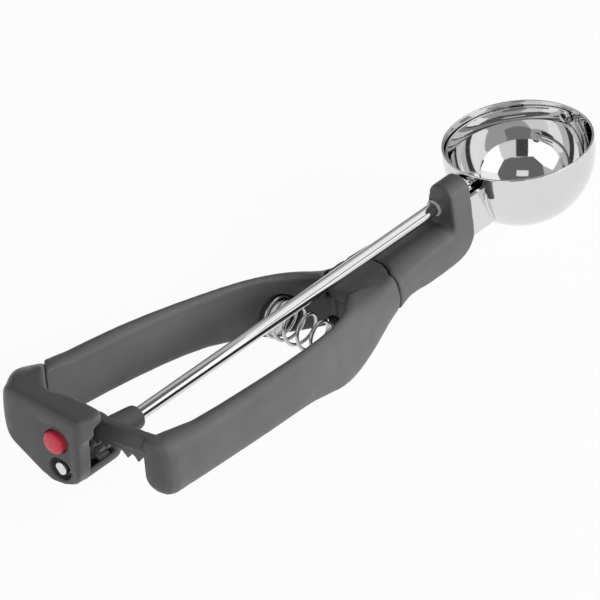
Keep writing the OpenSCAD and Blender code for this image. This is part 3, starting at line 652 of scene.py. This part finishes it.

# %% [markdown]
# The return spring is a cone of wire. Each turn lies closer to the next at both ends than in the
# middle, as in a real spring with closed ends. The wire's round section is carried along the coil,
# square to it, and the ends are closed by rings that shrink to a point. The wide end sits in the
# fixed grip and the narrow end on the lever, so the spring rides on neither of them.

# %% Return spring
def coil(r0, r1, z0, z1, turns, wire, steps, sides, closeness):
    """Tube of diameter wire round a coil: radius r0 to r1, height z0 to z1 over t from 0 to 1,
    with height eased by t - closeness * sin(2 pi t) / (2 pi)."""
    t = np.linspace(0, 1, int(turns * steps) + 1)
    eased = t - closeness * np.sin(2 * np.pi * t) / (2 * np.pi)
    a, r, z = 2 * np.pi * turns * t, r0 + (r1 - r0) * t, z0 + (z1 - z0) * eased
    path = np.stack([r * np.cos(a), r * np.sin(a), z], -1)
    ahead = np.gradient(path, axis=0)
    ahead /= np.linalg.norm(ahead, axis=1)[:, None]
    outward = np.stack([np.cos(a), np.sin(a), np.zeros_like(a)], -1)
    outward -= np.sum(outward * ahead, axis=1)[:, None] * ahead
    outward /= np.linalg.norm(outward, axis=1)[:, None]
    across = np.cross(ahead, outward)
    b = np.linspace(0, 2 * np.pi, sides, endpoint=False)
    cos_b, sin_b = np.cos(b)[:, None], np.sin(b)[:, None]
    ring = (outward[:, None] * cos_b + across[:, None] * sin_b) * wire / 2
    tube = path[:, None] + ring
    first, last = path[:1, None] + 0 * ring[:1], path[-1:, None] + 0 * ring[-1:]
    return np.concatenate([first, tube, last])


spring_lo, spring_hi = from_bowl(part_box("return_spring"))
SPRING_X, SPRING_Z = -101.7, -13.95
SPRING_BIG, SPRING_SMALL, WIRE, SPRING_TURNS = 15.0, 10.0, 1.2, 7
spring = coil((SPRING_BIG - WIRE) / 2, (SPRING_SMALL - WIRE) / 2, WIRE / 2,
              spring_hi[1] - spring_lo[1] - WIRE / 2, SPRING_TURNS, WIRE,
              steps=44, sides=12, closeness=0.35)
on_line = np.stack([SPRING_X + spring[..., 0], spring_hi[1] - spring[..., 2],
                    SPRING_Z + spring[..., 1]], -1)
spring_piece = grid_piece("wire_spring", on_line, drawn_steel, None, ["return_spring"],
                          wrap_columns=True)
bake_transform(spring_piece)

# %% [markdown]
# The red button is a short cylinder with a slightly domed top and a rounded rim, on a thin
# stem. Both are one profile turned about the direction in which the thumb pushes.

# %% Red button
button_lo, button_hi = from_bowl(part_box("release_button"))
BUTTON_Y, BUTTON_Z, BUTTON_R, STEM_R, BUTTON_H = 0.6, 10.3, 3.9, 1.5, 4.1
tip = button_lo[0]
RIM_ROUND, RIM_START, DOME, DOME_R, DOME_SHARE = 1.4, 84, 0.22, 1.3, 0.27
rim = arc((BUTTON_R - RIM_ROUND, 0), RIM_ROUND, RIM_START, 0, 9)
button_rows = [(0.0, tip), (DOME_R, tip + DOME * DOME_SHARE)]
button_rows += [(r, tip + DOME + RIM_ROUND - h) for r, h in rim]
button_rows += [(BUTTON_R, tip + BUTTON_H), (STEM_R, tip + BUTTON_H), (STEM_R, button_hi[0]),
                (0.0, button_hi[0])]
button = turned(button_rows, 64, "x") + np.array([0.0, BUTTON_Y, BUTTON_Z])
grid_piece("red_button", button, red_plastic, "button", ["release_button"], wrap_rows=True)

# %% [markdown]
# A small coil behind the button pushes it back out. It is wound with the same coil formula and
# lies round the stem.

# %% Button spring
push_lo, push_hi = from_bowl(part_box("button_spring"))
PUSH_R, PUSH_WIRE, PUSH_TURNS, PUSH_TRAVEL = 2.7, 0.5, 3, 1.6
push_length = push_hi[0] - push_lo[0]
push = coil(PUSH_R, PUSH_R, PUSH_WIRE / 2, push_length - PUSH_WIRE / 2, PUSH_TURNS, PUSH_WIRE,
            steps=32, sides=8, closeness=0.0)
on_stem = np.stack([push_lo[0] + push[..., 2], BUTTON_Y + push[..., 0],
                    BUTTON_Z + push[..., 1]], -1)
push_piece = grid_piece("push_spring", on_stem, drawn_steel, "frame", ["button_spring"],
                        wrap_columns=True)
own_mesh(push_piece)

# %% [markdown]
# A moulding has no sharp edge: the mould itself is rounded wherever steel met steel, and this
# soft edge is what catches the light. The three mouldings start as copies of the solids. Each
# copy is cut into a fine even mesh, and every point then moves towards the middle of its
# neighbours for some rounds, which rounds each edge by about the same small radius. New grids
# would need every bore, slot and tooth cut again, and these copies have them already.

# %% Even copy of a solid
SOLID_MERGE_M = 2e-6


def evened(node, voxel_mm):
    """Copy of a solid's mesh, with its points merged, cut into even squares of voxel_mm."""
    mesh = node.data.copy()
    if "custom_normal" in mesh.attributes:
        mesh.attributes.remove(mesh.attributes["custom_normal"])
    work = bmesh.new()
    work.from_mesh(mesh)
    bmesh.ops.remove_doubles(work, verts=work.verts, dist=SOLID_MERGE_M)
    work.to_mesh(mesh)
    work.free()
    holder = bpy.data.objects.new("holder", mesh)
    bpy.context.scene.collection.objects.link(holder)
    cutter = holder.modifiers.new("even", "REMESH")
    cutter.mode = "VOXEL"
    cutter.voxel_size = voxel_mm * MM
    graph = bpy.context.evaluated_depsgraph_get()
    even = bpy.data.meshes.new_from_object(holder.evaluated_get(graph))
    bpy.data.objects.remove(holder)
    bpy.data.meshes.remove(mesh)
    return even


# %% Softening
def points_of(mesh):
    """The mesh's points in millimetres from the bowl's centre."""
    flat = np.empty(3 * len(mesh.vertices))
    mesh.vertices.foreach_get("co", flat)
    return (flat.reshape(-1, 3) - BOWL_CENTRE) / MM


SOFT_SHARE, CRISP_HOLD = 0.5, 0.88


def softened(points, edges, rounds, share):
    """Each round: p = p + share * (mean of the neighbours - p), with a share for each point."""
    ends = np.concatenate([edges[:, 0], edges[:, 1]])
    others = np.concatenate([edges[:, 1], edges[:, 0]])
    count = np.bincount(ends, minlength=len(points))[:, None]
    for _ in range(rounds):
        total = np.stack([np.bincount(ends, points[others, k], len(points)) for k in range(3)], -1)
        points = points + share * (total / count - points)
    return points


# %% One soft moulding
BOX_LOW, BOX_HIGH = from_bowl(cad_box)


def moulding(name, node, body, voxel_mm, rounds, shape=None, crisp=None):
    """A moulding with soft edges from a solid; shape moves its points first, and crisp is 1
    at points whose edges stay small."""
    mesh = evened(nodes[node], voxel_mm)
    edges = np.empty(2 * len(mesh.edges), int)
    mesh.edges.foreach_get("vertices", edges)
    points = points_of(mesh)
    if shape:
        points = shape(points)
    held = crisp(points)[:, None] if crisp else 0.0
    share = SOFT_SHARE * (1.0 - CRISP_HOLD * held)
    points = softened(points, edges.reshape(-1, 2), rounds, share)
    points = np.clip(points, BOX_LOW, BOX_HIGH)
    mesh.vertices.foreach_set("co", place(points).ravel())
    mesh.name = name
    mesh.polygons.foreach_set("use_smooth", np.ones(len(mesh.polygons), bool))
    mesh.materials.clear()
    mesh.materials.append(dark_plastic)
    piece = bpy.data.objects.new(name, mesh)
    bpy.context.scene.collection.objects.link(piece)
    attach(piece, body)
    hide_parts(node)
    print(name, len(mesh.polygons), "faces")


# %% [markdown]
# A hand fills a grip, so the real forms are fuller than plain sections: the flared rear corner,
# the fixed grip's back and the lever's belly bulge a little. A swell pushes the points round
# one place in one direction and dies away as a bell curve, which leaves no edge behind.

# %% Swells
# Middle, reach and push, in millimetres from the bowl's centre
CORNER_HIGH = ((-203.0, 27.0, 17.0), (8.0, 7.0, 9.0), (-0.3, 1.3, 0.7))
CORNER_LOW = ((-208.0, 25.0, 7.0), (7.0, 6.0, 9.0), (0.0, 1.5, 0.0))
GRIP_CREST = ((-172.0, 27.0, 10.0), (42.0, 8.0, 9.0), (0.0, 0.7, 1.5))
LEVER_BELLY = ((-100.0, -18.0, -18.0), (22.0, 9.0, 9.0), (0.0, -1.0, -1.1))
LEVER_UNDER = ((-165.0, -28.0, -8.0), (60.0, 8.0, 8.0), (0.0, 0.0, -0.8))


def swell(points, middle, reach, push):
    """push * exp(-d^2), where d is the distance from middle with each direction divided by
    its reach."""
    squared = np.sum(((points - np.array(middle)) / np.array(reach)) ** 2, axis=1)
    return np.exp(-squared)[:, None] * np.array(push)


def fuller_back(points):
    """The flared corner and the fixed grip's back swell outwards and up."""
    corner = swell(points, *CORNER_HIGH) + swell(points, *CORNER_LOW)
    return points + corner + swell(points, *GRIP_CREST)


def fuller_lever(points):
    """The lever's underside hangs lower, most of all at the belly before the hinge."""
    return points + swell(points, *LEVER_BELLY) + swell(points, *LEVER_UNDER)


# %% [markdown]
# The red button sits in a flat that lies a little deeper than the end face round it. A cut
# would leave a hard line, so the points inside a rounded outline sink by a smooth step instead.

# %% Flat round the button
# Its outline, the width of the step, and how deep it sinks
PAD_RIGHT, PAD_TOP, PAD_CORNER, PAD_STEP, PAD_DEEPER = 7.0, 17.6, 6.2, 1.4, 0.3
# Where the sinking runs out: towards the grip, behind the end face, and below the shaft
PAD_END_Y, PAD_FADE_Y = 7.0, 10.0
FACE_X, FACE_FADE = -206.5, 2.0
PAD_LOW_Z, PAD_FADE_Z = -5.0, 3.0


def stepped_housing(points):
    """The flat round the button sinks by PAD_DEEPER inside a rounded outline: depth rises with
    the smooth step of the distance to the outline, and runs out towards the fixed grip."""
    points = fuller_back(points)
    x, y, z = points.T
    right, top = -y - PAD_RIGHT + PAD_CORNER, z - PAD_TOP + PAD_CORNER
    beyond = np.hypot(np.maximum(right, 0), np.maximum(top, 0))
    outside = beyond + np.minimum(np.maximum(right, top), 0)
    t = np.clip((PAD_CORNER - outside) / PAD_STEP, 0, 1)
    depth = PAD_DEEPER * t * t * (3 - 2 * t) * np.clip((PAD_END_Y - y) / PAD_FADE_Y, 0, 1)
    on_face = np.clip((FACE_X - x) / FACE_FADE, 0, 1)
    near_face = on_face * np.clip((z - PAD_LOW_Z) / PAD_FADE_Z, 0, 1)
    return np.stack([x + depth * near_face, y, z], -1)


# %% [markdown]
# Some edges do work or meet another piece: the teeth, the joint line by the hinge, the seam
# between the two dark mouldings, and the middle of the end face. Their points hardly move in
# the rounds, so they stay crisp. Each rule below gives 1 there and fades to 0 round it.

# %% Crisp places
CRISP_FADE = 4.0
SEAM_X, ARM_X, HINGE_X = -178.0, -187.0, -79.0


def seam_side(points):
    """1 at the fixed grip's rear end, falling to 0 over CRISP_FADE."""
    return np.clip((SEAM_X - points[:, 0]) / CRISP_FADE, 0.0, 1.0)


def working_ends(points):
    """1 on the toothed arm and at the joint line by the hinge, falling to 0 over CRISP_FADE."""
    x = points[:, 0]
    return np.clip(np.maximum((ARM_X - x) / CRISP_FADE, (x - HINGE_X) / CRISP_FADE), 0.0, 1.0)


# The middle of the end face: half width about y, top, bottom, depth, and a corner left out
MIDDLE_HALF, MIDDLE_Y, MIDDLE_TOP, MIDDLE_LOW, MIDDLE_X = 8.0, -0.2, 18.6, -4.5, -203.0
LEFT_OUT_Z, LEFT_OUT_Y = 2.0, -5.0


def button_side(points):
    """1 on the middle of the end face, falling to 0 over 1 mm round it."""
    x, y, z = points.T
    across = np.minimum(MIDDLE_HALF - np.abs(y - MIDDLE_Y), MIDDLE_TOP - z)
    inside = np.minimum(across, np.minimum(MIDDLE_X - x, z - MIDDLE_LOW))
    inside = np.minimum(inside, np.maximum(z - LEFT_OUT_Z, y - LEFT_OUT_Y))
    return np.clip(inside, 0.0, 1.0)


# %% The three mouldings
moulding("end_moulding", "end_housing", "frame", voxel_mm=0.36, rounds=34,
         shape=stepped_housing, crisp=button_side)
moulding("frame_moulding", "handle_frame", "frame", voxel_mm=0.55, rounds=6,
         shape=fuller_back, crisp=seam_side)
moulding("lever_moulding", "squeeze_lever", "lever", voxel_mm=0.50, rounds=14,
         shape=fuller_lever, crisp=working_ends)

# %% [markdown]
# The other pieces keep the model's own solids. Their meshes come as loose triangles, so a
# small geometry group merges the points and shades each surface smooth up to a sharp edge.

# %% Smooth shading for the solids
def smooth_up_to(degrees):
    """A geometry group: merge points, shade smooth, keep edges steeper than degrees sharp."""
    group = bpy.data.node_groups.new("smooth_solid", "GeometryNodeTree")
    group.interface.new_socket("Geometry", in_out="INPUT", socket_type="NodeSocketGeometry")
    group.interface.new_socket("Geometry", in_out="OUTPUT", socket_type="NodeSocketGeometry")
    start, end = group.nodes.new("NodeGroupInput"), group.nodes.new("NodeGroupOutput")
    forget = group.nodes.new("GeometryNodeRemoveAttribute")
    forget.inputs["Name"].default_value = "custom_normal"
    merge = group.nodes.new("GeometryNodeMergeByDistance")
    merge.inputs["Distance"].default_value = SOLID_MERGE_M
    faces = group.nodes.new("GeometryNodeSetShadeSmooth")
    edges = group.nodes.new("GeometryNodeSetShadeSmooth")
    edges.domain = "EDGE"
    edges.inputs["Shade Smooth"].default_value = False
    angle = group.nodes.new("GeometryNodeInputMeshEdgeAngle")
    steep = group.nodes.new("FunctionNodeCompare")
    steep.operation = "GREATER_THAN"
    steep.inputs["B"].default_value = math.radians(degrees)
    link(group, start.outputs[0], forget.inputs["Geometry"])
    link(group, forget.outputs[0], merge.inputs["Geometry"])
    link(group, merge.outputs[0], faces.inputs["Geometry"])
    link(group, faces.outputs[0], edges.inputs["Geometry"])
    link(group, angle.outputs["Unsigned Angle"], steep.inputs["A"])
    link(group, steep.outputs[0], edges.inputs["Selection"])
    link(group, edges.outputs[0], end.inputs[0])
    return group


FINISH_OF_SLOT = {"plastic": dark_plastic, "button": red_plastic, "polished": mirror_steel,
                  "steel": drawn_steel, "bearing": nylon}
SOLID_SHARP_DEGREES = 32.0
smooth_solid = smooth_up_to(SOLID_SHARP_DEGREES)
for name, node in nodes.items():
    node.data.materials.clear()
    finish = grey_nylon if name == "drive_pinion" else FINISH_OF_SLOT[slot_of(name)]
    node.data.materials.append(finish)
    node.modifiers.new("smooth_solid", "NODES").node_group = smooth_solid
print("solids finished:", len(nodes))
